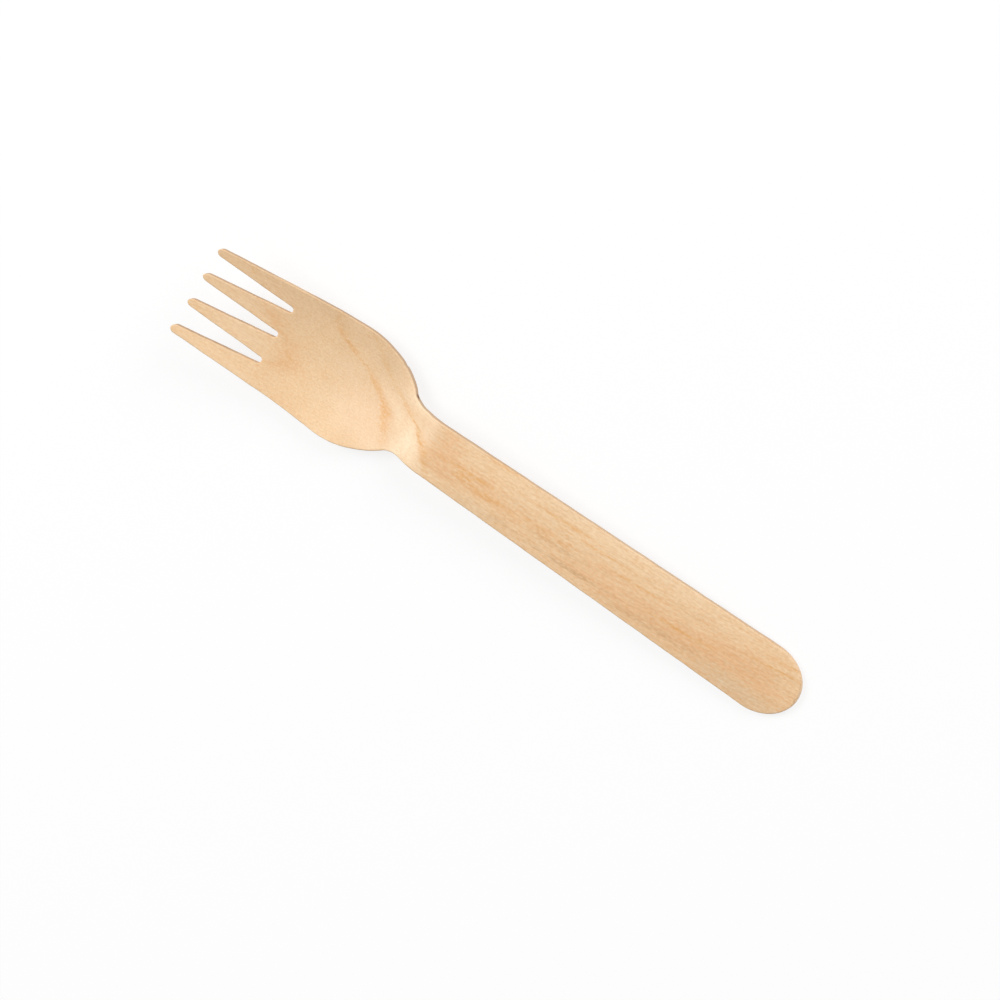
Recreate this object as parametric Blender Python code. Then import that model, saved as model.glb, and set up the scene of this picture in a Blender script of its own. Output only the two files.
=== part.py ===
"""A single-use birch fork, 160 mm long, as it lies on a table.

The fork is one piece of rotary-cut birch veneer, die-cut to a flat blank and then hot-pressed between two dies.
The blank's plan gives its tines, head, neck and handle. The dies raise the tines, dish the head across, lift the
neck over the table and crown the handle.

+X runs from the tine tips to the handle's end, +Y runs across and +Z is up. The origin is on the table, below the
middle of the fork. Sizes are in metres. In the functions, x is the distance from the line of the tine tips.
"""

import math

import bmesh
import bpy
import numpy as np

# Blank, seen from above
LENGTH = 0.160
VENEER = 0.0016
HEAD_WIDTH = 0.0270
TIP_SPAN = 0.0222
NECK_WIDTH = 0.0125
NECK_FROM_TIPS = 0.0576
SHOULDER_RADIUS = 0.0238
NECK_FILLET = 0.0065
HANDLE_END_WIDTH = 0.0156
HANDLE_CAP = 0.0095

# Tines and the slots between them
TINES = 4
SLOT_PITCH = 0.00675
SLOT_DEPTH = 0.0199
SLOT_MOUTH = 0.0050
SLOT_ROOT_RADIUS = 0.0007
TIP_ROUND = 0.00115

# Pressed form
BOWL_FROM_TIPS = 0.0374
BOWL_BEND = 0.0470
TINE_RISE = math.radians(18.4)
NECK_BEND = 0.0220
HANDLE_FALL = math.radians(3.7)
DISH_AT_TIPS = 0.0022
DISH_IN_BOWL = 0.0028
DISH_FADES_FROM = 0.0420
DISH_ENDS_AT = 0.0560
HANDLE_CROWN = 0.0004
FOOT_FLAT = 0.0002

# Steps of the surface
TINE_COLUMNS = 4
TIP_STEPS = 5
TINE_STEPS = 6
ROOT_STEPS = 5
BOWL_STEPS = 9
SHOULDER_STEPS = 10
FILLET_STEPS = 6
NECK_STEPS = 7
HANDLE_STEPS = 8
CAP_STEPS = 8
SHARP_ANGLE = math.radians(40)

# Birch, as sRGB shares
BIRCH_COLOUR = (0.91, 0.77, 0.61)
BIRCH_ROUGHNESS = 0.55


def clear_scene():
    for obj in list(bpy.data.objects):
        bpy.data.objects.remove(obj, do_unlink=True)


def linear(colour):
    """The linear value of an sRGB colour: the power 2.4 of its share above the toe."""
    return tuple(((share + 0.055) / 1.055) ** 2.4 for share in colour)


def birch():
    material = bpy.data.materials.new("pressed_birch_veneer")
    material.use_nodes = True
    shader = material.node_tree.nodes["Principled BSDF"]
    shader.inputs["Base Color"].default_value = (*linear(BIRCH_COLOUR), 1.0)
    shader.inputs["Roughness"].default_value = BIRCH_ROUGHNESS
    shader.inputs["Metallic"].default_value = 0.0
    return material


def smooth_step(low, high, x):
    """0 up to low and 1 from high on, with level ends between."""
    share = np.clip((x - low) / (high - low), 0.0, 1.0)
    return share * share * (3.0 - 2.0 * share)


# The plan's side is a chain of a straight taper, the shoulder arc, the neck's fillet, the handle's taper and
# half an ellipse. Each joint below is where two of them touch.
CAP_FROM = LENGTH - HANDLE_CAP
SHOULDER_CENTRE_Y = HEAD_WIDTH / 2 - SHOULDER_RADIUS
FILLET_CENTRE_Y = NECK_WIDTH / 2 + NECK_FILLET
SHOULDER_X = NECK_FROM_TIPS - math.sqrt(
    (SHOULDER_RADIUS + NECK_FILLET) ** 2 - (FILLET_CENTRE_Y - SHOULDER_CENTRE_Y) ** 2
)
SHOULDER_TURN = math.asin((NECK_FROM_TIPS - SHOULDER_X) / (SHOULDER_RADIUS + NECK_FILLET))
FILLET_FROM = SHOULDER_X + SHOULDER_RADIUS * math.sin(SHOULDER_TURN)


def tangent_angles():
    """The tapers' angles: each is the tangent from its straight side's far end to the arc that it meets."""
    reach = math.hypot(SHOULDER_X, SHOULDER_CENTRE_Y - TIP_SPAN / 2)
    head = math.atan2(SHOULDER_CENTRE_Y - TIP_SPAN / 2, SHOULDER_X) + math.asin(SHOULDER_RADIUS / reach)
    run = CAP_FROM - NECK_FROM_TIPS
    drop = FILLET_CENTRE_Y - HANDLE_END_WIDTH / 2
    handle = math.asin(NECK_FILLET / math.hypot(run, drop)) - math.atan2(drop, run)
    return head, handle


HEAD_TAPER, HANDLE_TAPER = tangent_angles()
SHOULDER_FROM = SHOULDER_X - SHOULDER_RADIUS * math.sin(HEAD_TAPER)
TAPER_FROM = NECK_FROM_TIPS + NECK_FILLET * math.sin(HANDLE_TAPER)


def half_width(x):
    """Half the blank's width: each stretch of the chain, up to the joint with the next."""
    on_shoulder = np.clip(x, SHOULDER_FROM, FILLET_FROM) - SHOULDER_X
    on_fillet = np.clip(x, FILLET_FROM, TAPER_FROM) - NECK_FROM_TIPS
    on_cap = (np.clip(x, CAP_FROM, LENGTH) - CAP_FROM) / HANDLE_CAP
    stretches = [
        TIP_SPAN / 2 + x * math.tan(HEAD_TAPER),
        SHOULDER_CENTRE_Y + np.sqrt(SHOULDER_RADIUS**2 - on_shoulder**2),
        FILLET_CENTRE_Y - np.sqrt(NECK_FILLET**2 - on_fillet**2),
        HANDLE_END_WIDTH / 2 - (CAP_FROM - x) * math.tan(HANDLE_TAPER),
    ]
    ends = [x < SHOULDER_FROM, x < FILLET_FROM, x < TAPER_FROM, x < CAP_FROM]
    return np.select(ends, stretches, HANDLE_END_WIDTH / 2 * np.sqrt(np.maximum(1.0 - on_cap**2, 0.0)))


def slot_half_width(x):
    """Half of one slot's width: straight flanks from its mouth to the round root."""
    root = SLOT_DEPTH - SLOT_ROOT_RADIUS
    flank = SLOT_ROOT_RADIUS + (SLOT_MOUTH / 2 - SLOT_ROOT_RADIUS) * (1.0 - x / root)
    into_root = np.clip(x - root, 0.0, SLOT_ROOT_RADIUS)
    return np.where(x < root, flank, np.sqrt(SLOT_ROOT_RADIUS**2 - into_root**2))


def slot_lines():
    """The slots' centre lines, and the head's two sides outside them, as shares of the half width at the roots."""
    inner = (np.arange(1, TINES) - TINES / 2) * SLOT_PITCH / half_width(np.array(SLOT_DEPTH))
    return np.concatenate([[-1.0], inner, [1.0]])


def tine_sides(tine, x):
    """The two sides of a tine at x: its slots' flanks or the blank's own side, drawn in to a round tip."""
    low = (tine - TINES / 2) * SLOT_PITCH + slot_half_width(x)
    high = (tine + 1 - TINES / 2) * SLOT_PITCH - slot_half_width(x)
    low = -half_width(x) if tine == 0 else low
    high = half_width(x) if tine == TINES - 1 else high
    rounding = math.sqrt(1.0 - (1.0 - min(x / TIP_ROUND, 1.0)) ** 2)
    middle = (low + high) / 2
    return middle + (low - middle) * rounding, middle + (high - middle) * rounding


# The underside's middle line, seen from the side, is the tines' straight rise, the bowl's bend, the neck's bend
# and the handle's straight fall. Heights are from the bowl's lowest point, which the foot's flat then cuts off.
TINE_BEND_FROM = BOWL_FROM_TIPS - BOWL_BEND * math.sin(TINE_RISE)
CAP_FALL = HANDLE_CAP * math.tan(HANDLE_FALL)
FALL_MEETS_TABLE = CAP_FROM + (FOOT_FLAT + HANDLE_CROWN + CAP_FALL**2 / (4 * HANDLE_CROWN)) / math.tan(HANDLE_FALL)
LINE_OVER_BOWL = (FALL_MEETS_TABLE - BOWL_FROM_TIPS) * math.tan(HANDLE_FALL)
BOWL_CENTRE_OVER_LINE = (BOWL_BEND - LINE_OVER_BOWL) * math.cos(HANDLE_FALL)
BENDS_APART = math.sqrt((BOWL_BEND + NECK_BEND) ** 2 - (BOWL_CENTRE_OVER_LINE + NECK_BEND) ** 2)
LINE_TO_CENTRE = math.atan2(BOWL_CENTRE_OVER_LINE + NECK_BEND, BENDS_APART) + HANDLE_FALL
NECK_CENTRE_X = BOWL_FROM_TIPS + (BOWL_BEND + NECK_BEND) * math.cos(LINE_TO_CENTRE)
NECK_CENTRE_Z = BOWL_BEND - (BOWL_BEND + NECK_BEND) * math.sin(LINE_TO_CENTRE)
NECK_BEND_FROM = BOWL_FROM_TIPS + BOWL_BEND * math.cos(LINE_TO_CENTRE)
HANDLE_FROM = NECK_CENTRE_X + NECK_BEND * math.sin(HANDLE_FALL)


def middle_height(x):
    """The height of the underside's middle line over the bowl's lowest point."""
    on_bowl = np.clip(x, TINE_BEND_FROM, NECK_BEND_FROM) - BOWL_FROM_TIPS
    on_neck = np.clip(x, NECK_BEND_FROM, HANDLE_FROM) - NECK_CENTRE_X
    stretches = [
        BOWL_BEND * (1.0 - math.cos(TINE_RISE)) + (TINE_BEND_FROM - x) * math.tan(TINE_RISE),
        BOWL_BEND - np.sqrt(BOWL_BEND**2 - on_bowl**2),
        NECK_CENTRE_Z + np.sqrt(NECK_BEND**2 - on_neck**2),
    ]
    ends = [x < TINE_BEND_FROM, x < NECK_BEND_FROM, x < HANDLE_FROM]
    return np.select(ends, stretches, (FALL_MEETS_TABLE - x) * math.tan(HANDLE_FALL))


def dish(x):
    """How far the head's side would stand over its middle at x: a quarter sine into the bowl, gone at the neck."""
    along = np.clip(x / BOWL_FROM_TIPS, 0.0, 1.0)
    deepening = DISH_AT_TIPS + (DISH_IN_BOWL - DISH_AT_TIPS) * np.sin(along * math.pi / 2)
    return deepening * (1.0 - smooth_step(DISH_FADES_FROM, DISH_ENDS_AT, x))


def pressed(x, y):
    """The height of the pressed sheet's lower skin over the table: the middle line, with the dish and crown across."""
    hollow = dish(x) * (y / (HEAD_WIDTH / 2)) ** 2
    crown = HANDLE_CROWN * smooth_step(NECK_BEND_FROM, HANDLE_FROM, x) * (y / (HANDLE_END_WIDTH / 2)) ** 2
    return middle_height(x) + hollow - crown - FOOT_FLAT


def tine_stations():
    """The tines' cross rows, closer where the tips and the slots' roots are round, without the roots' own row."""
    tip = TIP_ROUND * (1.0 - np.cos(np.linspace(0.0, math.pi / 2, TIP_STEPS + 1)))
    root = SLOT_DEPTH - SLOT_ROOT_RADIUS + SLOT_ROOT_RADIUS * np.sin(np.linspace(0.0, math.pi / 2, ROOT_STEPS + 1))
    flanks = np.linspace(tip[-1], root[0], TINE_STEPS + 1)
    return np.concatenate([tip[:-1], flanks, root[1:-1]])


def body_stations():
    """The rows from the slots' roots to the handle's end, without the end point."""
    joints = [SLOT_DEPTH, BOWL_FROM_TIPS, FILLET_FROM, NECK_FROM_TIPS, HANDLE_FROM, CAP_FROM]
    steps = [BOWL_STEPS, SHOULDER_STEPS, FILLET_STEPS, NECK_STEPS, HANDLE_STEPS]
    runs = [np.linspace(a, b, n + 1)[:-1] for a, b, n in zip(joints, joints[1:], steps)]
    cap = CAP_FROM + HANDLE_CAP * np.sin(np.linspace(0.0, math.pi / 2, CAP_STEPS + 1))
    return np.concatenate([*runs, cap[:-1]])


def add_row(sheet, x, across):
    """One row of vertices at x, on the lower skin, which is flat where it would pass below the table."""
    heights = np.maximum(pressed(np.full(len(across), x), across), 0.0)
    return [sheet.verts.new((x - LENGTH / 2, y, z)) for y, z in zip(across, heights)]


def join_rows(sheet, near, far):
    """Faces between two rows, looking up. A row of one vertex is a tip, and takes a fan."""
    for index in range(max(len(near), len(far)) - 1):
        corners = near[index : index + 2] if len(near) > 1 else near
        ends = far[index : index + 2] if len(far) > 1 else far
        sheet.faces.new([*corners[:1], *ends, *corners[:0:-1]])


def add_tine(sheet, tine, root_row):
    """One tine's rows, from its tip to its share of the row at the slots' roots."""
    stations = tine_stations()
    previous = add_row(sheet, 0.0, np.array([sum(tine_sides(tine, 0.0)) / 2]))
    for x in stations[1:]:
        row = add_row(sheet, x, np.linspace(*tine_sides(tine, x), TINE_COLUMNS + 1))
        join_rows(sheet, previous, row)
        previous = row
    first = tine * TINE_COLUMNS
    join_rows(sheet, previous, root_row[first : first + TINE_COLUMNS + 1])


def add_body(sheet):
    """The head, neck and handle. The columns keep their shares of the width, and end in one point."""
    shares = np.interp(np.arange(TINES * TINE_COLUMNS + 1) / TINE_COLUMNS, np.arange(TINES + 1), slot_lines())
    rows = [add_row(sheet, x, shares * half_width(x)) for x in body_stations()]
    rows.append(add_row(sheet, LENGTH, np.zeros(1)))
    for near, far in zip(rows, rows[1:]):
        join_rows(sheet, near, far)
    return rows[0]


def thicken(sheet):
    """The upper skin, one veneer straight above the lower, as between matched dies. The cut edges stay upright."""
    grown = bmesh.ops.extrude_face_region(sheet, geom=[*sheet.faces, *sheet.edges], use_keep_orig=True)
    for vert in grown["geom"]:
        if isinstance(vert, bmesh.types.BMVert):
            vert.co.z = pressed(vert.co.x + LENGTH / 2, vert.co.y) + VENEER
    bmesh.ops.recalc_face_normals(sheet, faces=sheet.faces)


def fork_mesh():
    """The whole fork as one closed mesh."""
    sheet = bmesh.new()
    root_row = add_body(sheet)
    for tine in range(TINES):
        add_tine(sheet, tine, root_row)
    thicken(sheet)
    mesh = bpy.data.meshes.new("fork")
    sheet.to_mesh(mesh)
    sheet.free()
    mesh.shade_smooth()
    mesh.set_sharp_from_angle(angle=SHARP_ANGLE)
    return mesh


def add_fork():
    fork = bpy.data.objects.new("fork", fork_mesh())
    bpy.context.collection.objects.link(fork)
    fork.data.materials.append(birch())


def main():
    clear_scene()
    add_fork()


main()
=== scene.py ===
"""The looks of a single-use birch fork: its fine surface, its wood, and a plain white studio.

Sizes are in millimetres until a mesh is made, and in metres in Blender. Along is the distance from the
line of the tine tips, across is +Y, and height is over the table.
"""

import math

import bmesh
import bpy
import numpy as np
from mathutils import Matrix, Vector


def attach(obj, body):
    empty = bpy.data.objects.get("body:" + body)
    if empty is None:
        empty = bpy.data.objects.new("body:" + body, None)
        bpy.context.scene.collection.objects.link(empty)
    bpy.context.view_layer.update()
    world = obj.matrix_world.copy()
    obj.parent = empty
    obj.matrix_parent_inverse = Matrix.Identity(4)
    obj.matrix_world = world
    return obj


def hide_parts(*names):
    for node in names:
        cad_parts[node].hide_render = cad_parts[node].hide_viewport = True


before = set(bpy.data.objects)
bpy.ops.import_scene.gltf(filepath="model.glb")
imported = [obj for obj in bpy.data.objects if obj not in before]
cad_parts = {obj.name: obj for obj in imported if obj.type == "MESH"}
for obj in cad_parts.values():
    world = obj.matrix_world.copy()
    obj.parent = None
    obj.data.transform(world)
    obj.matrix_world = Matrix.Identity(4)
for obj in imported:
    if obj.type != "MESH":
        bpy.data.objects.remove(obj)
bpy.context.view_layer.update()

MM = 0.001

# Blank, seen from above
LENGTH = 160.0
VENEER = 1.6
HEAD_WIDTH = 27.0
TIP_SPAN = 22.2
NECK_WIDTH = 12.5
NECK_FROM_TIPS = 57.6
SHOULDER_RADIUS = 23.8
NECK_FILLET = 6.5
HANDLE_END_WIDTH = 15.6
HANDLE_CAP = 9.5

# Tines and the slots between them
TINES = 4
SLOT_PITCH = 6.75
SLOT_DEPTH = 19.9
SLOT_MOUTH = 5.0
SLOT_ROOT_RADIUS = 0.7
TIP_ROUND = 1.15

# Pressed form. The neck bends over a crisper crest than the solid's, which stands up to 0.42 mm above it.
BOWL_FROM_TIPS = 37.4
BOWL_BEND = 47.0
TINE_RISE = math.radians(18.4)
NECK_BEND = 10.0
HANDLE_FALL = math.radians(3.7)
DISH_AT_TIPS = 2.2
DISH_IN_BOWL = 2.8
DISH_FADES_FROM = 42.0
DISH_ENDS_AT = 56.0
HANDLE_CROWN = 0.4
FOOT_FLAT = 0.2

# Where this fork departs from its plan, from -Y to +Y: how much shorter each tine is, and how much deeper
# each slot. A tip's shift has settled by 14 mm along, and a slot's comes and goes about its root. The +Y
# half of the handle's end reaches further than the other.
SHORT_BY = (0.0, 0.0, 0.0, 0.45)
DEEP_BY = (-0.15, -0.15, 0.2)
TIP_SHIFT_ENDS = 14.0
ROOT_SHIFT_FROM = 8.0
ROOT_SHIFT_ENDS = 25.0
CAP_LEAN = 0.15

# Cut edge: the die rounds the upper arris, tears the wall a little and leaves the lower arris crisp
UPPER_ARRIS = 0.32
LOWER_ARRIS = 0.14
ARRIS_STEPS = 5
WALL_STEPS = 5
EDGE_WANDER = 0.07
WANDER_LENGTHS = (11.0, 6.3, 3.7, 2.1)
WALL_TEAR = 0.035
TEAR_LENGTHS = (0.9, 1.7, 0.6, 3.1)
TEAR_SLANT = 2.3

# Nicks in the +Y edge: how far along each is, half its length and its depth
NICKS = ((48.0, 0.7, 0.16), (54.1, 1.1, 0.14))

# How much of the cut's darker colour the cut edge takes along the fork. The dip about the slots' roots is
# painted light against the shade there, and the handle's very end takes none
CUT_TONE_AT = (0.0, 12.0, 16.0, 20.0, 24.0, 58.0, 90.0, 148.0, 154.0)
CUT_TONE_AND_LIGHT = (1.0, 1.0, 0.5, 0.5, 1.1, 1.0, 0.7, 0.7, 0.0)

# Steps of the fine surface, how soon its rows settle past the slots' roots, and how near doubled points are
TINE_COLUMNS = 16
TIP_STEPS = 9
FLANK_STEP = 0.45
ROOT_STEPS = 7
BODY_STEP = 0.45
CAP_STEPS = 24
ROOT_SETTLES = 2.5
DOUBLES_WITHIN = 0.001

# The fibres run along the fork, and swing towards +Y in the handle's outer part
SWING_FROM = 60.0
SWING = 0.00055


def smooth_step(low, high, x):
    """0 up to low and 1 from high on, with level ends between."""
    share = np.clip((x - low) / (high - low), 0.0, 1.0)
    return share * share * (3.0 - 2.0 * share)


# The plan's side is a chain of a straight taper, the shoulder arc, the neck's fillet, the handle's taper
# and a quarter of an ellipse. Each joint below is where two of them touch.
CAP_FROM = LENGTH - HANDLE_CAP
SHOULDER_CENTRE = HEAD_WIDTH / 2 - SHOULDER_RADIUS
FILLET_CENTRE = NECK_WIDTH / 2 + NECK_FILLET
ARCS_APART = SHOULDER_RADIUS + NECK_FILLET
SHOULDER_AT = NECK_FROM_TIPS - math.sqrt(ARCS_APART**2 - (FILLET_CENTRE - SHOULDER_CENTRE) ** 2)
FILLET_FROM = SHOULDER_AT + SHOULDER_RADIUS * (NECK_FROM_TIPS - SHOULDER_AT) / ARCS_APART


def tangent_angles():
    """The tapers' angles: each is the tangent from its straight side's far end to the arc that it meets."""
    reach = math.hypot(SHOULDER_AT, SHOULDER_CENTRE - TIP_SPAN / 2)
    head = math.atan2(SHOULDER_CENTRE - TIP_SPAN / 2, SHOULDER_AT) + math.asin(SHOULDER_RADIUS / reach)
    run = CAP_FROM - NECK_FROM_TIPS
    drop = FILLET_CENTRE - HANDLE_END_WIDTH / 2
    return head, math.asin(NECK_FILLET / math.hypot(run, drop)) - math.atan2(drop, run)


HEAD_TAPER, HANDLE_TAPER = tangent_angles()
SHOULDER_FROM = SHOULDER_AT - SHOULDER_RADIUS * math.sin(HEAD_TAPER)
TAPER_FROM = NECK_FROM_TIPS + NECK_FILLET * math.sin(HANDLE_TAPER)


def half_width(along):
    """Half the blank's width: each stretch of the chain, up to the joint with the next."""
    on_shoulder = np.clip(along, SHOULDER_FROM, FILLET_FROM) - SHOULDER_AT
    on_fillet = np.clip(along, FILLET_FROM, TAPER_FROM) - NECK_FROM_TIPS
    on_cap = (np.clip(along, CAP_FROM, LENGTH) - CAP_FROM) / HANDLE_CAP
    stretches = [
        TIP_SPAN / 2 + along * math.tan(HEAD_TAPER),
        SHOULDER_CENTRE + np.sqrt(SHOULDER_RADIUS**2 - on_shoulder**2),
        FILLET_CENTRE - np.sqrt(NECK_FILLET**2 - on_fillet**2),
        HANDLE_END_WIDTH / 2 - (CAP_FROM - along) * math.tan(HANDLE_TAPER),
    ]
    ends = [along < SHOULDER_FROM, along < FILLET_FROM, along < TAPER_FROM, along < CAP_FROM]
    return np.select(ends, stretches, HANDLE_END_WIDTH / 2 * np.sqrt(np.maximum(1.0 - on_cap**2, 0.0)))


def slot_half_width(along):
    """Half of one slot's width: straight flanks from its mouth to the round root."""
    root = SLOT_DEPTH - SLOT_ROOT_RADIUS
    flank = SLOT_ROOT_RADIUS + (SLOT_MOUTH / 2 - SLOT_ROOT_RADIUS) * (1.0 - along / root)
    into_root = np.clip(along - root, 0.0, SLOT_ROOT_RADIUS)
    return np.where(along < root, flank, np.sqrt(SLOT_ROOT_RADIUS**2 - into_root**2))


def tine_sides(tine, along):
    """A tine's two sides: its slots' flanks or the blank's own side, drawn in to a round tip."""
    low = (tine - TINES / 2) * SLOT_PITCH + slot_half_width(along)
    high = (tine + 1 - TINES / 2) * SLOT_PITCH - slot_half_width(along)
    low = -half_width(along) if tine == 0 else low
    high = half_width(along) if tine == TINES - 1 else high
    rounding = np.sqrt(1.0 - (1.0 - np.minimum(along / TIP_ROUND, 1.0)) ** 2)
    middle = (low + high) / 2
    return middle + (low - middle) * rounding, middle + (high - middle) * rounding


# The underside's middle line, seen from the side, is the tines' straight rise, the bowl's bend, the neck's
# bend and the handle's straight fall. Heights are from the bowl's lowest point, which the foot's flat then
# cuts off. Where the cap starts, the line is so high that the cap's lowest edge point rests on the table.
TINE_BEND_FROM = BOWL_FROM_TIPS - BOWL_BEND * math.sin(TINE_RISE)
CAP_FALL = HANDLE_CAP * math.tan(HANDLE_FALL)
LINE_AT_CAP = FOOT_FLAT + HANDLE_CROWN + CAP_FALL**2 / (4 * HANDLE_CROWN)
FALL_MEETS_TABLE = CAP_FROM + LINE_AT_CAP / math.tan(HANDLE_FALL)
LINE_OVER_BOWL = (FALL_MEETS_TABLE - BOWL_FROM_TIPS) * math.tan(HANDLE_FALL)
BOWL_CENTRE_OVER_LINE = (BOWL_BEND - LINE_OVER_BOWL) * math.cos(HANDLE_FALL)
BENDS_APART = BOWL_BEND + NECK_BEND
LINE_TO_CENTRE = math.asin((BOWL_CENTRE_OVER_LINE + NECK_BEND) / BENDS_APART) + HANDLE_FALL
NECK_CENTRE_AT = BOWL_FROM_TIPS + BENDS_APART * math.cos(LINE_TO_CENTRE)
NECK_CENTRE_HEIGHT = BOWL_BEND - BENDS_APART * math.sin(LINE_TO_CENTRE)
NECK_BEND_FROM = BOWL_FROM_TIPS + BOWL_BEND * math.cos(LINE_TO_CENTRE)
HANDLE_FROM = NECK_CENTRE_AT + NECK_BEND * math.sin(HANDLE_FALL)


def middle_height(along):
    """The height of the underside's middle line over the bowl's lowest point."""
    on_bowl = np.clip(along, TINE_BEND_FROM, NECK_BEND_FROM) - BOWL_FROM_TIPS
    on_neck = np.clip(along, NECK_BEND_FROM, HANDLE_FROM) - NECK_CENTRE_AT
    stretches = [
        BOWL_BEND * (1.0 - math.cos(TINE_RISE)) + (TINE_BEND_FROM - along) * math.tan(TINE_RISE),
        BOWL_BEND - np.sqrt(BOWL_BEND**2 - on_bowl**2),
        NECK_CENTRE_HEIGHT + np.sqrt(NECK_BEND**2 - on_neck**2),
    ]
    ends = [along < TINE_BEND_FROM, along < NECK_BEND_FROM, along < HANDLE_FROM]
    return np.select(ends, stretches, (FALL_MEETS_TABLE - along) * math.tan(HANDLE_FALL))


def dish(along):
    """How far the head's side would stand over its middle: a quarter sine into the bowl, gone at the neck."""
    into_bowl = np.clip(along / BOWL_FROM_TIPS, 0.0, 1.0)
    deepening = DISH_AT_TIPS + (DISH_IN_BOWL - DISH_AT_TIPS) * np.sin(into_bowl * math.pi / 2)
    return deepening * (1.0 - smooth_step(DISH_FADES_FROM, DISH_ENDS_AT, along))


def pressed(plan):
    """The pressed sheet's lower skin over the table: the middle line, dished and crowned across."""
    along, across = plan[..., 0], plan[..., 1]
    hollow = dish(along) * (across / (HEAD_WIDTH / 2)) ** 2
    crown = HANDLE_CROWN * smooth_step(NECK_BEND_FROM, HANDLE_FROM, along)
    crown = crown * (across / (HANDLE_END_WIDTH / 2)) ** 2
    return middle_height(along) + hollow - crown - FOOT_FLAT


def even_steps(low, high, step):
    """Stations from low to high, as near to step apart as divides evenly."""
    return np.linspace(low, high, max(round((high - low) / step), 1) + 1)


def tine_stations():
    """From the tips to the slots' roots, closer where the outline is round."""
    turn = np.linspace(0.0, math.pi / 2, TIP_STEPS + 1)
    tip = TIP_ROUND * (1.0 - np.cos(turn))
    turn = np.linspace(0.0, math.pi / 2, ROOT_STEPS + 1)
    root = SLOT_DEPTH - SLOT_ROOT_RADIUS + SLOT_ROOT_RADIUS * np.sin(turn)
    return np.concatenate([tip[:-1], even_steps(TIP_ROUND, root[0], FLANK_STEP), root[1:]])


def body_stations():
    """From the slots' roots to the handle's end, closer round the end."""
    cap = CAP_FROM + HANDLE_CAP * np.sin(np.linspace(0.0, math.pi / 2, CAP_STEPS + 1))
    return np.concatenate([even_steps(SLOT_DEPTH, CAP_FROM, BODY_STEP)[:-1], cap])


def outline():
    """The blank's edge as one loop of points, seen from above against the clock from the handle's end.

    It runs down the +Y side, out and back round each tine, and up the -Y side. Each stretch leaves out its
    last point, which is the next one's first.
    """
    tines, body = tine_stations(), body_stations()
    stretches = [np.stack([body, half_width(body)], 1)[:0:-1]]
    for tine in reversed(range(TINES)):
        low, high = tine_sides(tine, tines)
        stretches.append(np.stack([tines, high], 1)[:0:-1])
        stretches.append(np.stack([tines, low], 1)[:-1])
    stretches.append(np.stack([body, -half_width(body)], 1)[:-1])
    return np.concatenate(stretches)


def distance_round(loop):
    """How far round the loop each point is: the running sum of its chords."""
    return np.cumsum(np.linalg.norm(loop - np.roll(loop, 1, 0), axis=1))


def outward(loop):
    """The loop's outward normals: the chord between each point's two neighbours, turned to the right."""
    chord = np.roll(loop, -1, 0) - np.roll(loop, 1, 0)
    chord /= np.linalg.norm(chord, axis=1, keepdims=True)
    return np.stack([chord[:, 1], -chord[:, 0]], 1)


def unevenness(distance, lengths):
    """An uneven line between 0 and 1: sines of the given lengths, each as strong as it is long.

    Each sine's phase is 7 radians for every mm of its length, so that no two start together.
    """
    lengths = np.array(lengths)
    waves = np.sin(2 * math.pi * distance[..., None] / lengths + 7.0 * lengths)
    return 0.5 + 0.5 * (waves * lengths).sum(-1) / lengths.sum()


def as_cut(plan):
    """The plan as this fork was cut: its tips and its slots' roots moved along, and its end leaning a little.

    Each shift is set at the middle of a tine or a slot, runs in a straight line across to the next one's, and
    settles to nothing along the fork.
    """
    along, across = plan[..., 0], plan[..., 1]
    tines = (np.arange(TINES) - (TINES - 1) / 2) * SLOT_PITCH
    slots = (tines[:-1] + tines[1:]) / 2
    tip = np.interp(across, tines, SHORT_BY) * (1.0 - smooth_step(0.0, TIP_SHIFT_ENDS, along))
    near_root = smooth_step(ROOT_SHIFT_FROM, SLOT_DEPTH, along)
    near_root = near_root * (1.0 - smooth_step(SLOT_DEPTH, ROOT_SHIFT_ENDS, along))
    root = np.interp(across, slots, DEEP_BY) * near_root
    lean = CAP_LEAN * across / (HANDLE_END_WIDTH / 2) * smooth_step(CAP_FROM - HANDLE_CAP, LENGTH, along)
    return np.stack([along + tip + root + lean, across], -1)


def skin_plan(loop):
    """One skin's points in plan, inside its loop, as one array for the tines and one for the body.

    A tine's cross rows run straight from its one side to its other. The body's rows run through one point
    for each slot, which starts at the slot's root and soon settles into its share of the straight row.
    """
    tine_steps, body_steps = len(tine_stations()) - 1, len(body_stations()) - 1
    order = np.arange(tine_steps + 1)
    first = body_steps + 2 * tine_steps * np.arange(TINES)[::-1, None]
    high, low = loop[first + tine_steps - order], loop[first + tine_steps + order]
    share = np.linspace(0.0, 1.0, TINE_COLUMNS + 1)[:, None]
    tines = low[:, :, None] + share * (high - low)[:, :, None]

    order = np.arange(body_steps + 1)
    high, low = loop[body_steps - order], loop[(body_steps + 2 * TINES * tine_steps + order) % len(loop)]
    knots = np.concatenate([tines[:, -1, 0], tines[-1:, -1, -1]])
    shares = ((knots - low[0])[:, 1] / (high - low)[0, 1])[:, None]
    rows = low[:, None] + shares * (high - low)[:, None]
    settled = smooth_step(SLOT_DEPTH, SLOT_DEPTH + ROOT_SETTLES, body_stations())[:, None, None]
    rows = rows + (knots - rows[0]) * (1.0 - settled)
    lanes = rows[:, :-1, None] + share * (rows[:, 1:] - rows[:, :-1])[:, :, None]
    return tines, lanes.transpose(1, 0, 2, 3)


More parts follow.
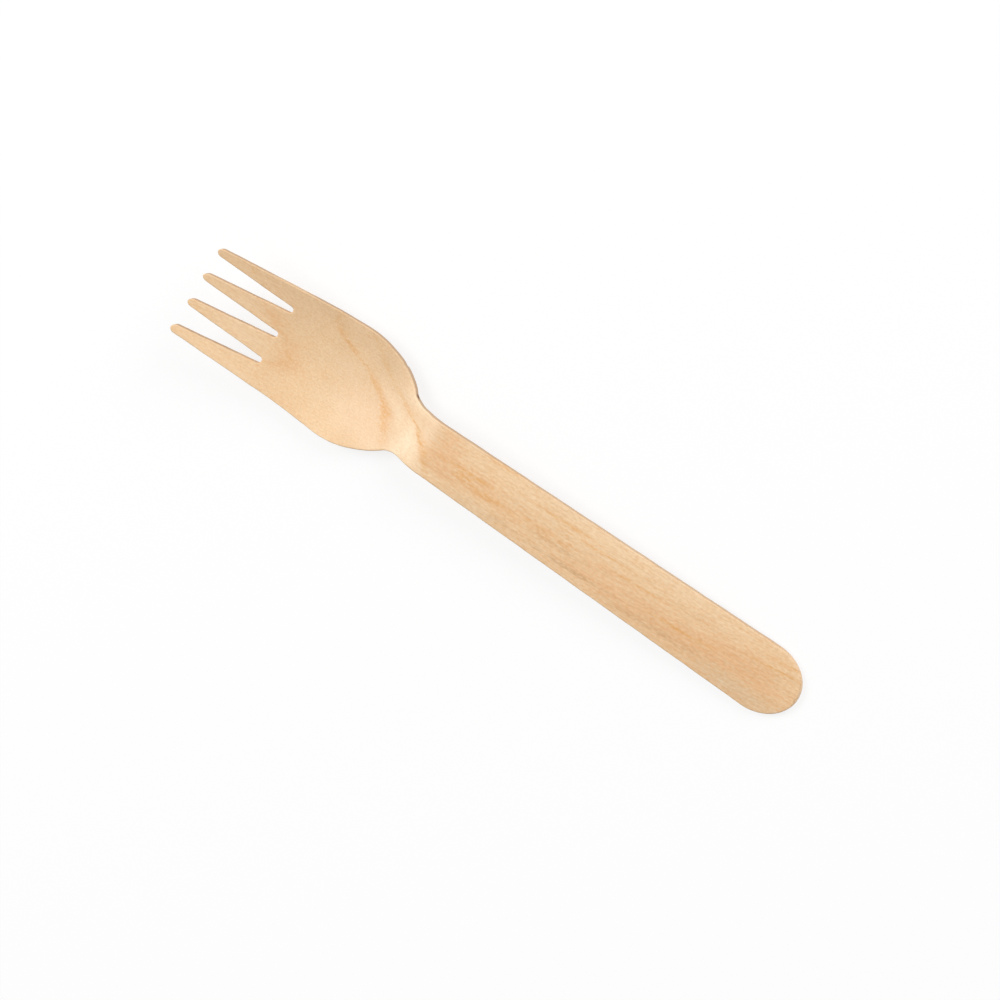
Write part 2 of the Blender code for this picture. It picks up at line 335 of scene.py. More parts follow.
def edge_rings(loop, normals):
    """The cut edge's points: the loop carried down a profile of upper arris, wall and lower arris.

    Each arris is a quarter circle from the skin to the wall. The wall's points move in by an uneven tear.
    """
    turn = np.linspace(0.0, math.pi / 2, ARRIS_STEPS + 1)
    wall = np.linspace(UPPER_ARRIS, VENEER - LOWER_ARRIS, WALL_STEPS + 1)[1:-1]
    inset = [UPPER_ARRIS * (1.0 - np.sin(turn)), 0.0 * wall, LOWER_ARRIS * (1.0 - np.sin(turn[::-1]))]
    depth = [UPPER_ARRIS * (1.0 - np.cos(turn)), wall, VENEER - LOWER_ARRIS * (1.0 - np.cos(turn[::-1]))]
    inset, depth = np.concatenate(inset)[:, None], np.concatenate(depth)[:, None]
    on_wall = np.sin(np.clip(depth / VENEER, 0.0, 1.0) * math.pi)
    tear = WALL_TEAR * on_wall * unevenness(distance_round(loop) + TEAR_SLANT * depth, TEAR_LENGTHS)
    plan = loop - normals * (inset + tear)[..., None]
    return plan, depth


def grid_faces(rows, columns, first, closed=False):
    """Quads over points numbered row by row. If closed, the last column is joined to the first."""
    row, column = np.meshgrid(np.arange(rows - 1), np.arange(columns - (not closed)), indexing="ij")
    across = (column + 1) % columns
    near, far = row * columns, (row + 1) * columns
    return first + np.stack([near + column, far + column, far + across, near + across], -1).reshape(-1, 4)


def fork_surface():
    """The whole fork's plan points, quads, depths in the sheet and cut shares, doubled points and all."""
    loop = outline()
    normals = outward(loop)
    inset = EDGE_WANDER * unevenness(distance_round(loop), WANDER_LENGTHS)
    for along, reach, bite in NICKS:
        inset += bite * np.maximum(1.0 - ((loop[:, 0] - along) / reach) ** 2, 0.0) * (loop[:, 1] > 0)
    loop = loop - normals * inset[:, None]
    rings, depth = edge_rings(loop, normals)
    points, faces, depths, cuts = [], [], [], []
    count = 0
    for skin_depth, ring in ((0.0, rings[0]), (VENEER, rings[-1])):
        for grid in (lane for group in skin_plan(ring) for lane in group):
            quads = grid_faces(*grid.shape[:2], first=count)
            faces.append(quads if skin_depth == 0.0 else quads[:, ::-1])
            points.append(grid.reshape(-1, 2))
            depths.append(np.full(len(points[-1]), skin_depth))
            cuts.append(np.zeros(len(points[-1])))
            count += len(points[-1])
    faces.append(grid_faces(*rings.shape[:2], first=count, closed=True))
    points.append(rings.reshape(-1, 2))
    depths.append(np.broadcast_to(depth, rings.shape[:2]).ravel())
    below_arris = smooth_step(0.0, UPPER_ARRIS, depths[-1])
    # The cut's colour along the fork, with painted light about the slots' roots
    cut_tone_and_light = np.interp(points[-1][:, 0], CUT_TONE_AT, CUT_TONE_AND_LIGHT)
    cuts.append(cut_tone_and_light * below_arris * (1.0 - smooth_step(VENEER - LOWER_ARRIS, VENEER, depths[-1])))
    return as_cut(np.concatenate(points)), np.concatenate(faces), np.concatenate(depths), np.concatenate(cuts)


def heights(plan, depth):
    """Heights of points at their depths in the sheet. The lower skin is flat where the table stops it."""
    skin = pressed(plan)
    share = depth / VENEER
    return (skin + VENEER) * (1.0 - share) + np.maximum(skin, 0.0) * share


# Growth rings that the knife met in the head. Each row is a point across and along the fork on a ring's
# line, with how strong the orange latewood is past it, towards the handle, and how pale the face is before
# it; on the neck ring that paleness is partly paler wood and partly a painted highlight on the neck's crest.
# A ring's line moves towards the tips by the slant for each mm down the sheet.
RINGS = {
    "tine_ring": (
        (-13.0, 6.0, 0.0, 0.0), (-9.0, 15.0, 0.1, 0.0), (-5.2, 22.6, 0.3, 0.0), (-3.0, 24.0, 0.38, 0.0),
        (0.0, 21.0, 0.25, 0.0), (3.0, 16.6, 0.45, 0.0), (5.0, 13.0, 0.1, 0.0), (8.5, 11.0, 0.1, 0.0),
        (10.4, 8.6, 0.5, 0.0), (12.0, 8.0, 0.2, 0.0),
    ),
    "bowl_ring": (
        (-8.0, 53.6, 0.2, 0.0), (-5.6, 51.4, 0.5, 0.0), (-3.8, 50.0, 0.7, 0.0), (-1.8, 48.8, 1.4, 0.0),
        (0.0, 48.2, 1.7, 0.0), (1.2, 47.0, 1.6, 0.0), (3.4, 42.6, 0.8, 0.0), (4.8, 40.6, 0.3, 0.0),
        (5.8, 37.6, 0.7, 0.0), (7.0, 34.0, 0.8, 0.0), (8.6, 31.0, 0.5, 0.0), (10.5, 28.6, 0.2, 0.0),
    ),
    "neck_ring": (
        (-6.5, 65.2, 0.3, 0.1), (-4.5, 64.2, 0.5, 0.25), (-2.6, 62.6, 0.8, 0.45), (-1.4, 61.2, 1.0, 0.5),
        (0.6, 59.4, 1.1, 0.45), (2.2, 57.0, 0.9, 0.3), (3.8, 52.4, 0.7, 0.1), (6.2, 47.2, 0.35, 0.0),
        (8.2, 43.4, 0.5, 0.0), (11.2, 40.2, 0.2, 0.0), (12.5, 38.0, 0.1, 0.0),
    ),
}
RING_SLANT = 2.5

# Patches of greyer, warmer and paler colour: the middle along and across, and half the size, and how strong.
# Most are the wood's own tone, but the grey and warm ones between 62 and 70 mm along paint the shade past the
# neck's crest, and the first four pale ones are partly paler wood and partly a painted highlight on the crest
GREY_AND_SHADE_PATCHES = (
    ((45.0, 8.8), (6.5, 2.0), 0.35),
    ((52.0, 5.6), (4.0, 1.6), 0.45),
    ((33.0, 3.5), (6.0, 3.0), 0.15),
    # This row and the next paint shade past the neck's crest
    ((62.0, 4.2), (3.4, 2.4), 0.40),
    ((69.0, 7.2), (3.6, 1.6), 0.55),
    ((52.0, 1.5), (2.2, 1.8), 0.40),
    ((43.0, -3.0), (9.0, 9.0), 0.30),
    ((148.0, -5.5), (12.0, 2.2), 0.60),
    ((78.0, -5.4), (7.0, 1.6), 0.30),
)
WARM_AND_SHADE_PATCHES = (
    # This row paints shade past the neck's crest
    ((66.5, 0.5), (4.5, 6.0), 0.65),
    ((78.0, -0.5), (9.0, 3.2), 0.40),
    ((118.0, -3.0), (30.0, 4.6), 0.60),
    ((146.0, -4.0), (12.0, 4.0), 0.75),
    ((44.0, -1.5), (8.0, 6.0), 0.25),
    ((50.5, 0.0), (2.2, 3.4), 0.35),
    # This row and the next paint shade past the neck's crest
    ((65.0, 5.2), (4.0, 2.2), 0.40),
    ((68.5, 7.0), (3.6, 1.6), 0.35),
    ((146.0, 1.0), (13.0, 5.0), 0.40),
    ((24.0, -2.4), (3.6, 4.0), 0.38),
    ((47.0, -4.5), (3.0, 2.0), 0.20),
    ((17.0, 3.3), (3.4, 2.2), 0.50),
)
PALE_AND_HIGHLIGHT_PATCHES = (
    # These four rows are partly paler wood and partly a painted highlight on the neck's crest
    ((57.9, -2.2), (3.2, 4.0), 1.0),
    ((55.4, -6.8), (2.4, 2.6), 0.65),
    ((56.8, 7.2), (3.6, 2.0), 1.00),
    ((56.6, 1.5), (2.0, 1.6), 0.25),
    ((64.5, -4.8), (3.0, 2.0), 0.50),
    ((12.5, -2.0), (7.0, 10.0), 0.20),
    ((112.0, 7.0), (40.0, 3.0), 0.18),
)

# Where the fibres read as long lines: in the handle, and less so in the tines, up to the slots' roots
LONG_FIBRES_FROM = 48.0
LONG_FIBRES_BY = 72.0
TINE_FIBRES = 0.6
TINE_FIBRES_FADE = (14.0, 25.0)


def patches(plan, rows):
    """The sum of soft patches: strength times the exponential of minus squared distance in half sizes."""
    total = np.zeros(len(plan))
    for middle, reach, strength in rows:
        total += strength * np.exp(-(((plan - middle) / reach) ** 2).sum(-1))
    return total


def wood_facts(plan, depth):
    """What the material needs at each point, by name: its place in the grain, rings, patches and fibres.

    A ring's three values are the distance past its line, the latewood's strength and the paleness.
    """
    swing = SWING * np.maximum(plan[:, 0] - SWING_FROM, 0.0) ** 2
    facts = {"grain": np.stack([plan[:, 0], plan[:, 1] - swing, depth], 1)}
    for name, line in RINGS.items():
        across, along, strength, pale_and_highlight = np.array(line).T
        past = plan[:, 0] - np.interp(plan[:, 1], across, along) + RING_SLANT * depth
        shares = [np.interp(plan[:, 1], across, share) for share in (strength, pale_and_highlight)]
        facts[name] = np.stack([past, *shares], 1)
    # The grey and warm patches paint shade past the neck's crest, and the pale ones partly a highlight on it,
    # besides the wood's own tone
    facts["grey_and_shade"] = patches(plan, GREY_AND_SHADE_PATCHES)
    facts["warm_and_shade"] = patches(plan, WARM_AND_SHADE_PATCHES)
    facts["pale_and_highlight"] = patches(plan, PALE_AND_HIGHLIGHT_PATCHES)
    in_tines = TINE_FIBRES * (1.0 - smooth_step(*TINE_FIBRES_FADE, plan[:, 0]))
    facts["long_fibres"] = smooth_step(LONG_FIBRES_FROM, LONG_FIBRES_BY, plan[:, 0]) + in_tines
    return facts


def add_fork():
    """The fork as one closed mesh, with its points' facts for the material and their share of cut edge."""
    plan, faces, depth, cut = fork_surface()
    place = np.stack([plan[:, 0] - LENGTH / 2, plan[:, 1], heights(plan, depth)], 1) * MM
    mesh = bpy.data.meshes.new("birch_fork")
    mesh.from_pydata(place, [], faces)
    for name, values in {**wood_facts(plan, depth), "cut": cut}.items():
        kind, field = ("FLOAT", "value") if values.ndim == 1 else ("FLOAT_VECTOR", "vector")
        mesh.attributes.new(name, kind, "POINT").data.foreach_set(field, values.astype(np.float32).ravel())
    welded = bmesh.new()
    welded.from_mesh(mesh)
    bmesh.ops.remove_doubles(welded, verts=welded.verts, dist=DOUBLES_WITHIN * MM)
    welded.to_mesh(mesh)
    welded.free()
    mesh.shade_smooth()
    fork = bpy.data.objects.new("birch_fork", mesh)
    bpy.context.collection.objects.link(fork)
    return fork


def linear(code):
    """The linear colour of an sRGB hex value."""
    shares = [int(code[at : at + 2], 16) / 255 for at in (1, 3, 5)]
    shares = [share / 12.92 if share <= 0.04045 else ((share + 0.055) / 1.055) ** 2.4 for share in shares]
    return (*shares, 1.0)


def add_node(tree, kind, inputs, **settings):
    """Adds a node with its settings, and returns its outputs.

    Each input is given its value, or the socket that feeds it.
    """
    node = tree.nodes.new(kind)
    for name, value in settings.items():
        setattr(node, name, value)
    for socket, value in inputs.items():
        if isinstance(value, bpy.types.NodeSocket):
            tree.links.new(value, node.inputs[socket])
        else:
            node.inputs[socket].default_value = value
    return node.outputs


# Over what distance each ring's latewood fades, and starts, and how far its line steps to and fro
RING_FADES = {"tine_ring": 3.6, "bowl_ring": 4.0, "neck_ring": 3.8}
RING_STARTS = 0.8
RING_STEPS = 4.6

# How far past a ring's line the pale band before it comes, is full, starts to go, and is gone. On the neck
# ring this band is partly a painted highlight on the neck's crest
PALE_BAND_AND_HIGHLIGHT = (-9.5, -5.5, -4.0, -0.4)

# Streaks in the handle where a ring lies level with its face: the middle along and across the grain and in
# depth, half the size, and how strong
ORANGE_STREAKS = (
    ((75.0, 0.5, 0.0), (10.0, 0.7, 9.0), 1.1),
    ((73.0, -0.8, 0.0), (4.0, 1.5, 9.0), 0.9),
    ((79.5, -1.7, 0.0), (7.5, 1.3, 9.0), 0.9),
    ((79.5, 6.1, 0.0), (7.0, 0.8, 9.0), 0.55),
    ((98.0, 3.0, 0.0), (14.0, 0.6, 9.0), 0.7),
    ((108.0, 1.6, 0.0), (15.0, 0.6, 9.0), 0.8),
    ((118.0, -0.6, 0.0), (13.0, 0.6, 9.0), 0.6),
    ((131.0, -4.4, 0.0), (12.0, 0.7, 9.0), 0.8),
    ((153.0, -1.6, 0.0), (11.0, 0.6, 9.0), 0.9),
    ((155.0, 0.4, 0.0), (9.0, 0.5, 9.0), 0.8),
    ((92.0, -1.5, 0.0), (15.0, 1.8, 9.0), 0.5),
)
DARK_STREAKS = (
    ((104.0, -5.5, 0.0), (16.0, 0.8, 9.0), 0.8),
    ((126.0, -7.2, 0.0), (18.0, 1.1, 9.0), 0.5),
    ((99.0, -2.6, 0.0), (12.0, 0.7, 9.0), 0.5),
    ((86.0, -4.9, 0.0), (8.0, 0.7, 9.0), 0.4),
)

# A dark brown fleck on the cut edge in the nick before the neck, in the streaks' form: partly the darker
# wood of the nick and partly painted shade in the neck's concave corner
NICK_FLECK_AND_SHADE = (((54.3, 7.2, 0.9), (1.2, 0.8, 0.9), 1.0),)

# Fibres, short in the pressed head and long in the handle: the rates per mm, along and across the grain, of
# the bundles and of the fibres in them, and how much stronger than the bundles the fibres are
SHORT_FIBRES = {"bundle_rates": (0.14, 0.22), "fibre_rates": (2.1, 2.9), "share": 2.2}
LONG_FIBRES = {"bundle_rates": (0.05, 0.38), "fibre_rates": (0.22, 2.0), "share": 2.0}

# Pores: their rates per mm along and across the grain, and how plain they are
PORE_RATES = (1.0, 2.2)
PORES_IN_HEAD = 1.1
PORES_IN_HANDLE = 1.9

# The steps that shift rings and streaks: their rates per mm along and across the grain, and a streak's shift
STEP_RATES = (0.12, 0.9)
STREAK_SHIFT = 1.1

# How the fibres break up latewood: from and to which fibre value, and from and to what share of it shows
BREAKS_FROM, BREAKS_TO = -0.5, 0.4
BROKEN_SHARE, WHOLE_SHARE = 0.1, 1.1

# The wood's drift to warm and to dull: from and to which fibre value each grows, and its greatest share
WARM_DRIFT = (-0.3, 0.8)
DULL_DRIFT = (-0.2, 0.8)
DRIFT_SHARE = 0.6

# The wood's colours, what the darkest and the lightest fibres make of their red, green and blue, and how
# much of the cut's colour the cut edge takes. The warm and dull tones also paint the shade past the neck's
# crest, the palest tone is partly a painted highlight on the crest, and the dark brown in the nick is partly
# painted shade
BASE_WOOD = "#EAC79D"
WARM_TONE_AND_SHADE = "#E4B382"
DULL_TONE_AND_SHADE = "#DEC29D"
PALEST_TONE_AND_HIGHLIGHT = "#F6DDBA"
ORANGE_LATEWOOD = "#DFA868"
DARK_LATEWOOD = "#C8A075"
CUT_WOOD = "#B9997B"
NICK_BROWN_AND_SHADE = "#6B4526"
DARKEST_FIBRES = (0.88, 0.78, 0.67)
LIGHTEST_FIBRES = (1.10, 1.20, 1.31)
CUT_SHARE = 0.85

# Roughness of the ironed face, from its dark fibres to its light ones over fibre values this far each side
# of zero, and of the cut edge
DARK_FIBRE_ROUGHNESS, LIGHT_FIBRE_ROUGHNESS = 0.36, 0.48
ROUGHNESS_REACH = 0.7
CUT_ROUGHNESS = 0.8

# How far the fibres stand up from the face, and how strongly their bump is drawn
FIBRE_RELIEF = 0.02
BUMP_STRENGTH = 0.35


def drawn_out_noise(tree, grain, along, across, **settings):
    """Three unrelated noises drawn out along the fibres, at these rates per mm along and across them."""
    spread = {0: grain, 1: (along, across, across)}
    spread = add_node(tree, "ShaderNodeVectorMath", spread, operation="MULTIPLY")[0]
    noise = {"Vector": spread, "Scale": 1.0, **settings}
    return add_node(tree, "ShaderNodeTexNoise", noise)["Color"]


def fibre_noise(tree, grain, bundle_rates, fibre_rates, share):
    """Three unrelated noises around zero: bundles a few mm wide, and in them fibres, share times as strong.

    Single fibres are 0.02 mm wide, too fine to show in the render, so they are drawn about 0.2 mm wide.
    """
    bundles = drawn_out_noise(tree, grain, *bundle_rates, Detail=3.0, Roughness=0.6)
    fibres = drawn_out_noise(tree, grain, *fibre_rates, Detail=2.0, Roughness=0.8)
    both = {0: fibres, 1: (share,) * 3, 2: bundles}
    both = add_node(tree, "ShaderNodeVectorMath", both, operation="MULTIPLY_ADD")[0]
    middle = (share + 1.0) / 2
    return add_node(tree, "ShaderNodeVectorMath", {0: both, 1: (middle,) * 3}, operation="SUBTRACT")[0]


def pore_noise(tree, grain, long_fibres):
    """Three unrelated noises around zero: the short dashes of cut pores, plainer where the fibres are long.

    Birch's pores are 0.06 to 0.1 mm wide, so they are drawn about 0.25 mm wide to show in the render.
    """
    pores = drawn_out_noise(tree, grain, *PORE_RATES, Detail=1.0, Roughness=0.6)
    pores = add_node(tree, "ShaderNodeVectorMath", {0: pores, 1: (0.5, 0.5, 0.5)}, operation="SUBTRACT")[0]
    strength = {0: long_fibres, 1: PORES_IN_HANDLE - PORES_IN_HEAD, 2: PORES_IN_HEAD}
    strength = add_node(tree, "ShaderNodeMath", strength, operation="MULTIPLY_ADD")[0]
    return add_node(tree, "ShaderNodeVectorMath", {0: pores, "Scale": strength}, operation="SCALE")[0]


def growth_rings(tree, steps):
    """How much latewood and how much paleness the head's rings show, as two values.

    Each ring's line is shifted in steps along the fibres. Latewood starts at the line and fades past it,
    and the pale band lies before it; on the neck ring, that band is partly paler wood and partly a painted
    highlight on the neck's crest.
    """
    latewood, paleness_and_highlight = 0.0, 0.0
    for name, fades in RING_FADES.items():
        ring = add_node(tree, "ShaderNodeAttribute", {}, attribute_name=name)["Vector"]
        ring = add_node(tree, "ShaderNodeSeparateXYZ", {0: ring})
        past = {0: steps, 1: RING_STEPS, 2: ring["X"]}
        past = add_node(tree, "ShaderNodeMath", past, operation="MULTIPLY_ADD")[0]
        past = add_node(tree, "ShaderNodeMath", {0: past, 1: RING_STEPS / 2}, operation="SUBTRACT")[0]
        starts = {"Value": past, 1: -RING_STARTS, 2: RING_STARTS}
        starts = add_node(tree, "ShaderNodeMapRange", starts, interpolation_type="SMOOTHSTEP")[0]
        fading = {"Value": past, 1: 0.0, 2: fades, 3: ring["Y"], 4: 0.0}
        fading = add_node(tree, "ShaderNodeMapRange", fading, interpolation_type="SMOOTHSTEP")[0]
        band = add_node(tree, "ShaderNodeMath", {0: starts, 1: fading}, operation="MULTIPLY")[0]
        latewood = add_node(tree, "ShaderNodeMath", {0: latewood, 1: band}, operation="MAXIMUM")[0]
        comes = {"Value": past, 1: PALE_BAND_AND_HIGHLIGHT[0], 2: PALE_BAND_AND_HIGHLIGHT[1], 3: 0.0, 4: ring["Z"]}
        comes = add_node(tree, "ShaderNodeMapRange", comes, interpolation_type="SMOOTHSTEP")[0]
        goes = {"Value": past, 1: PALE_BAND_AND_HIGHLIGHT[2], 2: PALE_BAND_AND_HIGHLIGHT[3], 3: 1.0, 4: 0.0}
        goes = add_node(tree, "ShaderNodeMapRange", goes, interpolation_type="SMOOTHSTEP")[0]
        band = add_node(tree, "ShaderNodeMath", {0: comes, 1: goes}, operation="MULTIPLY")[0]
        paleness_and_highlight = add_node(tree, "ShaderNodeMath", {0: paleness_and_highlight, 1: band}, operation="MAXIMUM")[0]
    return latewood, paleness_and_highlight


def streaks(tree, place, rows):
    """The strongest of some long soft patches at a place, each full at its middle and gone at its edge."""
    total = 0.0
    for middle, reach, strength in rows:
        centred = {"Vector": place, "Location": middle, "Scale": reach}
        centred = add_node(tree, "ShaderNodeMapping", centred, vector_type="TEXTURE")[0]
        off = add_node(tree, "ShaderNodeVectorMath", {0: centred}, operation="LENGTH")["Value"]
        band = {"Value": off, 1: 1.0, 2: 0.1, 3: 0.0, 4: strength}
        band = add_node(tree, "ShaderNodeMapRange", band, interpolation_type="SMOOTHSTEP")[0]
        total = add_node(tree, "ShaderNodeMath", {0: total, 1: band}, operation="MAXIMUM")[0]
    return total


def birch_veneer():
    """Rotary-cut birch veneer, pressed between hot dies: pale, close-grained and satin where they ironed it.

    Its face is fine light and dark fibres, short in the pressed head and long in the handle, over a slow
    drift between warm and dull wood, with the orange latewood of a few rings. Some patches and the neck
    ring's pale band also paint shade past the neck's crest and a highlight on it. Its cut edge is a duller,
    rougher tan, lightened about the slots' roots as painted light, and a dark fleck in the nick is partly
    painted shade.
    """
    material = bpy.data.materials.new("hot_pressed_birch_veneer")
    material.use_nodes = True
    tree = material.node_tree
    shader = tree.nodes["Principled BSDF"]
    facts = {}
    for name in ("grain", "grey_and_shade", "warm_and_shade", "pale_and_highlight", "long_fibres", "cut"):
        facts[name] = add_node(tree, "ShaderNodeAttribute", {}, attribute_name=name)
    grain = facts["grain"]["Vector"]

    short = fibre_noise(tree, grain, **SHORT_FIBRES)
    long = fibre_noise(tree, grain, **LONG_FIBRES)
    fibres = {"Factor": facts["long_fibres"]["Fac"], 4: short, 5: long}
    fibres = add_node(tree, "ShaderNodeMix", fibres, data_type="VECTOR")[1]
    pores = pore_noise(tree, grain, facts["long_fibres"]["Fac"])
    fibres = add_node(tree, "ShaderNodeVectorMath", {0: fibres, 1: pores}, operation="ADD")[0]
    fibres = add_node(tree, "ShaderNodeSeparateXYZ", {0: fibres})
    # The warm and dull drifts, with the warm and grey patches, which past the neck's crest paint shade
    warm_and_shade = {"Value": fibres["Y"], 1: WARM_DRIFT[0], 2: WARM_DRIFT[1], 4: DRIFT_SHARE}
    warm_and_shade = add_node(tree, "ShaderNodeMapRange", warm_and_shade)[0]
    warm_and_shade = add_node(tree, "ShaderNodeMath", {0: facts["warm_and_shade"]["Fac"], 1: warm_and_shade}, operation="ADD")[0]
    colour = {"Factor": warm_and_shade, 6: linear(BASE_WOOD), 7: linear(WARM_TONE_AND_SHADE)}
    colour = add_node(tree, "ShaderNodeMix", colour, data_type="RGBA")[2]
    dull_and_shade = {"Value": fibres["Z"], 1: DULL_DRIFT[0], 2: DULL_DRIFT[1], 4: DRIFT_SHARE}
    dull_and_shade = add_node(tree, "ShaderNodeMapRange", dull_and_shade)[0]
    dull_and_shade = add_node(tree, "ShaderNodeMath", {0: facts["grey_and_shade"]["Fac"], 1: dull_and_shade}, operation="ADD")[0]
    colour = {"Factor": dull_and_shade, 6: colour, 7: linear(DULL_TONE_AND_SHADE)}
    colour = add_node(tree, "ShaderNodeMix", colour, data_type="RGBA")[2]

    # Rings and streaks, stepped and broken up along the fibres
    steps = drawn_out_noise(tree, grain, *STEP_RATES, Detail=4.0, Roughness=0.75)
    steps = add_node(tree, "ShaderNodeSeparateColor", {0: steps})
    latewood, paleness_and_highlight = growth_rings(tree, steps["Red"])
    # The rings' pale bands and the pale patches, partly a painted highlight on the neck's crest
    paleness_and_highlight = {0: paleness_and_highlight, 1: facts["pale_and_highlight"]["Fac"]}
    paleness_and_highlight = add_node(tree, "ShaderNodeMath", paleness_and_highlight, operation="MAXIMUM")[0]
    colour = {"Factor": paleness_and_highlight, 6: colour, 7: linear(PALEST_TONE_AND_HIGHLIGHT)}
    colour = add_node(tree, "ShaderNodeMix", colour, data_type="RGBA")[2]
    shift = {0: steps["Green"], 1: STREAK_SHIFT, 2: -STREAK_SHIFT / 2}
    shift = add_node(tree, "ShaderNodeMath", shift, operation="MULTIPLY_ADD")[0]
    shift = add_node(tree, "ShaderNodeCombineXYZ", {"Y": shift})[0]
    place = add_node(tree, "ShaderNodeVectorMath", {0: grain, 1: shift}, operation="ADD")[0]
    orange = streaks(tree, place, ORANGE_STREAKS)
    latewood = add_node(tree, "ShaderNodeMath", {0: latewood, 1: orange}, operation="MAXIMUM")[0]
    broken = {"Value": fibres["Y"], 1: BREAKS_FROM, 2: BREAKS_TO, 3: BROKEN_SHARE, 4: WHOLE_SHARE}
    broken = add_node(tree, "ShaderNodeMapRange", broken)[0]
    latewood = {0: latewood, 1: broken}
    latewood = add_node(tree, "ShaderNodeMath", latewood, operation="MULTIPLY", use_clamp=True)[0]
    colour = {"Factor": latewood, 6: colour, 7: linear(ORANGE_LATEWOOD)}
    colour = add_node(tree, "ShaderNodeMix", colour, data_type="RGBA")[2]
    dark = streaks(tree, place, DARK_STREAKS)
    dark = add_node(tree, "ShaderNodeMath", {0: dark, 1: broken}, operation="MULTIPLY", use_clamp=True)[0]
    colour = {"Factor": dark, 6: colour, 7: linear(DARK_LATEWOOD)}
    colour = add_node(tree, "ShaderNodeMix", colour, data_type="RGBA")[2]

    # Light and dark fibres scale all of that, the blue most
    light = {"Value": fibres["X"], 1: -1.0, 2: 1.0}
    light = add_node(tree, "ShaderNodeMapRange", light)[0]
    light = {"Factor": light, 4: DARKEST_FIBRES, 5: LIGHTEST_FIBRES}
    light = add_node(tree, "ShaderNodeMix", light, data_type="VECTOR")[1]
    colour = add_node(tree, "ShaderNodeVectorMath", {0: colour, 1: light}, operation="MULTIPLY")[0]

    # The cut edge's colour covers it, with painted light about the slots' roots, and then the dark fleck in
    # the nick, which is partly painted shade
    cut = add_node(tree, "ShaderNodeMath", {0: facts["cut"]["Fac"], 1: CUT_SHARE}, operation="MULTIPLY")[0]
    colour = {"Factor": cut, 6: colour, 7: linear(CUT_WOOD)}
    colour = add_node(tree, "ShaderNodeMix", colour, data_type="RGBA")[2]
    colour = {"Factor": streaks(tree, grain, NICK_FLECK_AND_SHADE), 6: colour, 7: linear(NICK_BROWN_AND_SHADE)}
    colour = add_node(tree, "ShaderNodeMix", colour, data_type="RGBA")[2]
    tree.links.new(colour, shader.inputs["Base Color"])

    rough = {
        "Value": fibres["X"],
        1: -ROUGHNESS_REACH,
        2: ROUGHNESS_REACH,
        3: DARK_FIBRE_ROUGHNESS,
        4: LIGHT_FIBRE_ROUGHNESS,
    }
    rough = add_node(tree, "ShaderNodeMapRange", rough)[0]
    rough = {"Factor": facts["cut"]["Fac"], 2: rough, 3: CUT_ROUGHNESS}
    rough = add_node(tree, "ShaderNodeMix", rough, data_type="FLOAT")[0]
    tree.links.new(rough, shader.inputs["Roughness"])
    bump = {"Height": fibres["X"], "Strength": BUMP_STRENGTH, "Distance": FIBRE_RELIEF * MM}
    tree.links.new(add_node(tree, "ShaderNodeBump", bump)[0], shader.inputs["Normal"])
    return material


# The floor's half side in metres, its colour, and how much of a plain white it shows over its own shading
FLOOR_REACH = 3.0
FLOOR_WHITE = "#F4F4F4"
FLOOR_GLOW = 0.8


def add_stage():
    """A wide floor of matt white paper, which shows almost white and keeps the fork's soft shadow."""
    mesh = bpy.data.meshes.new("studio_floor")
    corners = [(x * FLOOR_REACH, y * FLOOR_REACH, 0.0) for x, y in ((-1, -1), (1, -1), (1, 1), (-1, 1))]
    mesh.from_pydata(corners, [], [(0, 1, 2, 3)])
    floor = bpy.data.objects.new("studio_floor", mesh)
    bpy.context.collection.objects.link(floor)
    material = bpy.data.materials.new("matt_white_paper")
    material.use_nodes = True
    tree = material.node_tree
    shader = tree.nodes["Principled BSDF"]
    shader.inputs["Base Color"].default_value = linear(FLOOR_WHITE)
    shader.inputs["Roughness"].default_value = 1.0
    paths = add_node(tree, "ShaderNodeLightPath", {})
    seen = {0: paths["Is Camera Ray"], 1: paths["Is Glossy Ray"]}
    seen = add_node(tree, "ShaderNodeMath", seen, operation="MAXIMUM")[0]
    seen = {0: seen, 1: paths["Is Transmission Ray"]}
    seen = add_node(tree, "ShaderNodeMath", seen, operation="MAXIMUM")[0]
    share = add_node(tree, "ShaderNodeMath", {0: seen, 1: FLOOR_GLOW}, operation="MULTIPLY")[0]
    glow = add_node(tree, "ShaderNodeEmission", {"Color": (1, 1, 1, 1), "Strength": 1.0})[0]
    mixed = add_node(tree, "ShaderNodeMixShader", {0: share, 1: shader.outputs[0], 2: glow})[0]
    tree.links.new(mixed, tree.nodes["Material Output"].inputs["Surface"])
    mesh.materials.append(material)


# The photograph's camera, about the model's origin: how far it leans from straight above, which way, from +Y
# towards +X, its roll, and where in the square frame the origin falls
CAMERA_LEAN = math.radians(20.42)
CAMERA_TOWARDS = math.radians(37.54)
CAMERA_ROLL = math.radians(35.58)
CAMERA_DISTANCE = 1000.0
PIXELS_PER_MM = 4.581
ORIGIN_PIXEL = (501.54, 488.60)
FRAME_PIXELS = 1000
SENSOR_WIDTH = 36.0


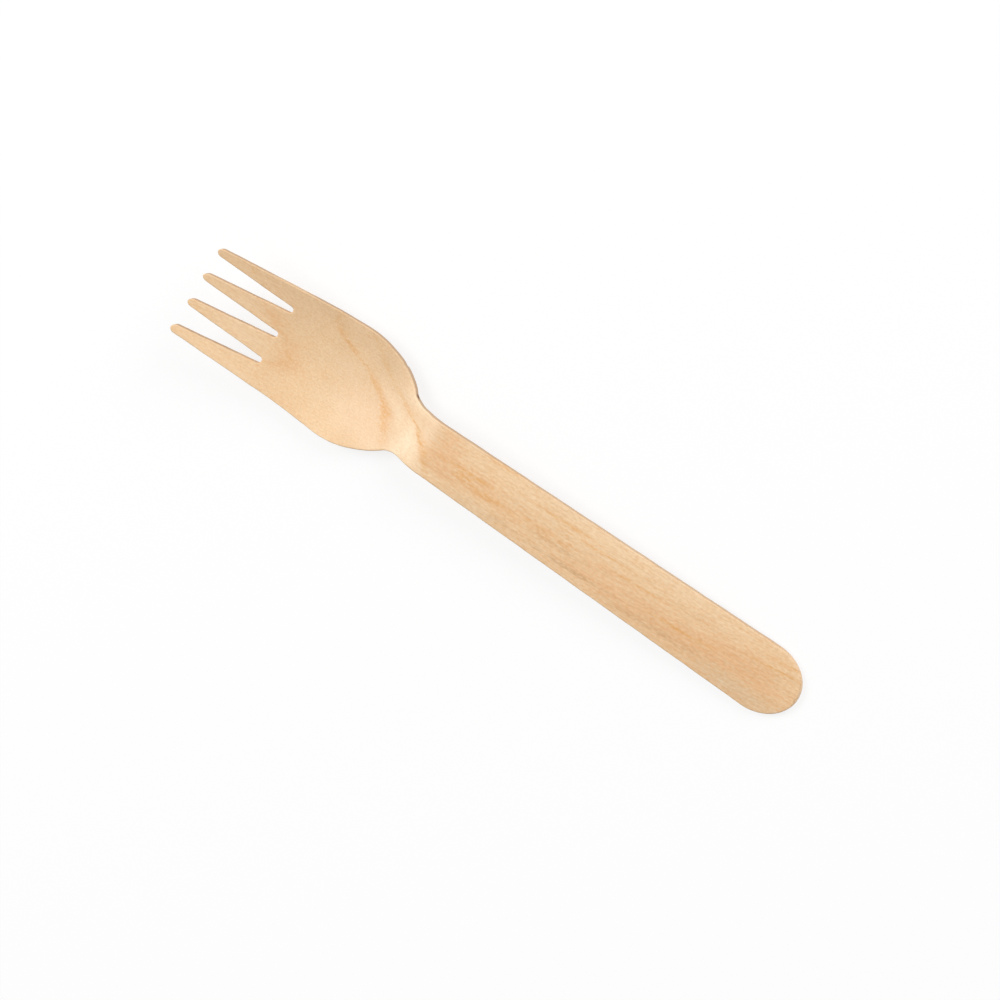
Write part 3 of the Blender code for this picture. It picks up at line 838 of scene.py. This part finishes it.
def add_camera():
    """A camera that leans from above towards +Y and +X, and looks where the origin falls on its pixel."""
    back = Vector((
        math.sin(CAMERA_LEAN) * math.sin(CAMERA_TOWARDS),
        math.sin(CAMERA_LEAN) * math.cos(CAMERA_TOWARDS),
        math.cos(CAMERA_LEAN),
    ))
    level = (Vector((1, 0, 0)) - back * back.x).normalized()
    across = back.cross(level)
    right = level * math.cos(CAMERA_ROLL) + across * math.sin(CAMERA_ROLL)
    up = across * math.cos(CAMERA_ROLL) - level * math.sin(CAMERA_ROLL)
    aside = (FRAME_PIXELS / 2 - ORIGIN_PIXEL[0]) / PIXELS_PER_MM
    above = (ORIGIN_PIXEL[1] - FRAME_PIXELS / 2) / PIXELS_PER_MM
    place = (back * CAMERA_DISTANCE + right * aside + up * above) * MM
    camera = bpy.data.objects.new("camera", bpy.data.cameras.new("camera"))
    camera.data.sensor_width = SENSOR_WIDTH
    camera.data.lens = SENSOR_WIDTH * PIXELS_PER_MM * CAMERA_DISTANCE / FRAME_PIXELS
    camera.matrix_world = Matrix.Translation(place) @ Matrix((right, up, back)).transposed().to_4x4()
    bpy.context.collection.objects.link(camera)
    bpy.context.scene.camera = camera


# Soft boxes: where each stands, in degrees from +Y towards -X and in degrees above the table, and its watts.
# Their size and their distance are in metres.
SOFT_BOXES = {"left_soft_box": (90, 50, 9.0), "back_soft_box": (-22, 32, 7.6)}
SOFT_BOX_SIZE = 0.7
SOFT_BOX_DISTANCE = 1.2
ROOM_LIGHT = 0.38


def add_light():
    """Soft white light: an even room, a large soft box beyond the tine tips and one beyond the +Y side."""
    world = bpy.data.worlds.new("soft_white_room")
    world.use_nodes = True
    tree = world.node_tree
    background = tree.nodes["Background"]
    background.inputs["Color"].default_value = (1, 1, 1, 1)
    background.inputs["Strength"].default_value = ROOM_LIGHT
    bpy.context.scene.world = world
    for name, (side, height, watts) in SOFT_BOXES.items():
        lamp = bpy.data.lights.new(name, "AREA")
        lamp.shape = "SQUARE"
        lamp.size = SOFT_BOX_SIZE
        lamp.energy = watts
        side, height = math.radians(side), math.radians(height)
        level = math.cos(height)
        towards = Vector((-math.sin(side) * level, math.cos(side) * level, math.sin(height)))
        box = bpy.data.objects.new(name, lamp)
        facing = towards.to_track_quat("Z", "Y").to_matrix().to_4x4()
        box.matrix_world = Matrix.Translation(towards * SOFT_BOX_DISTANCE) @ facing
        bpy.context.collection.objects.link(box)


fork = add_fork()
fork.data.materials.append(birch_veneer())
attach(fork, "root")
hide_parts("fork")
add_stage()
add_camera()
add_light()
bpy.context.scene.view_settings.view_transform = "Standard"
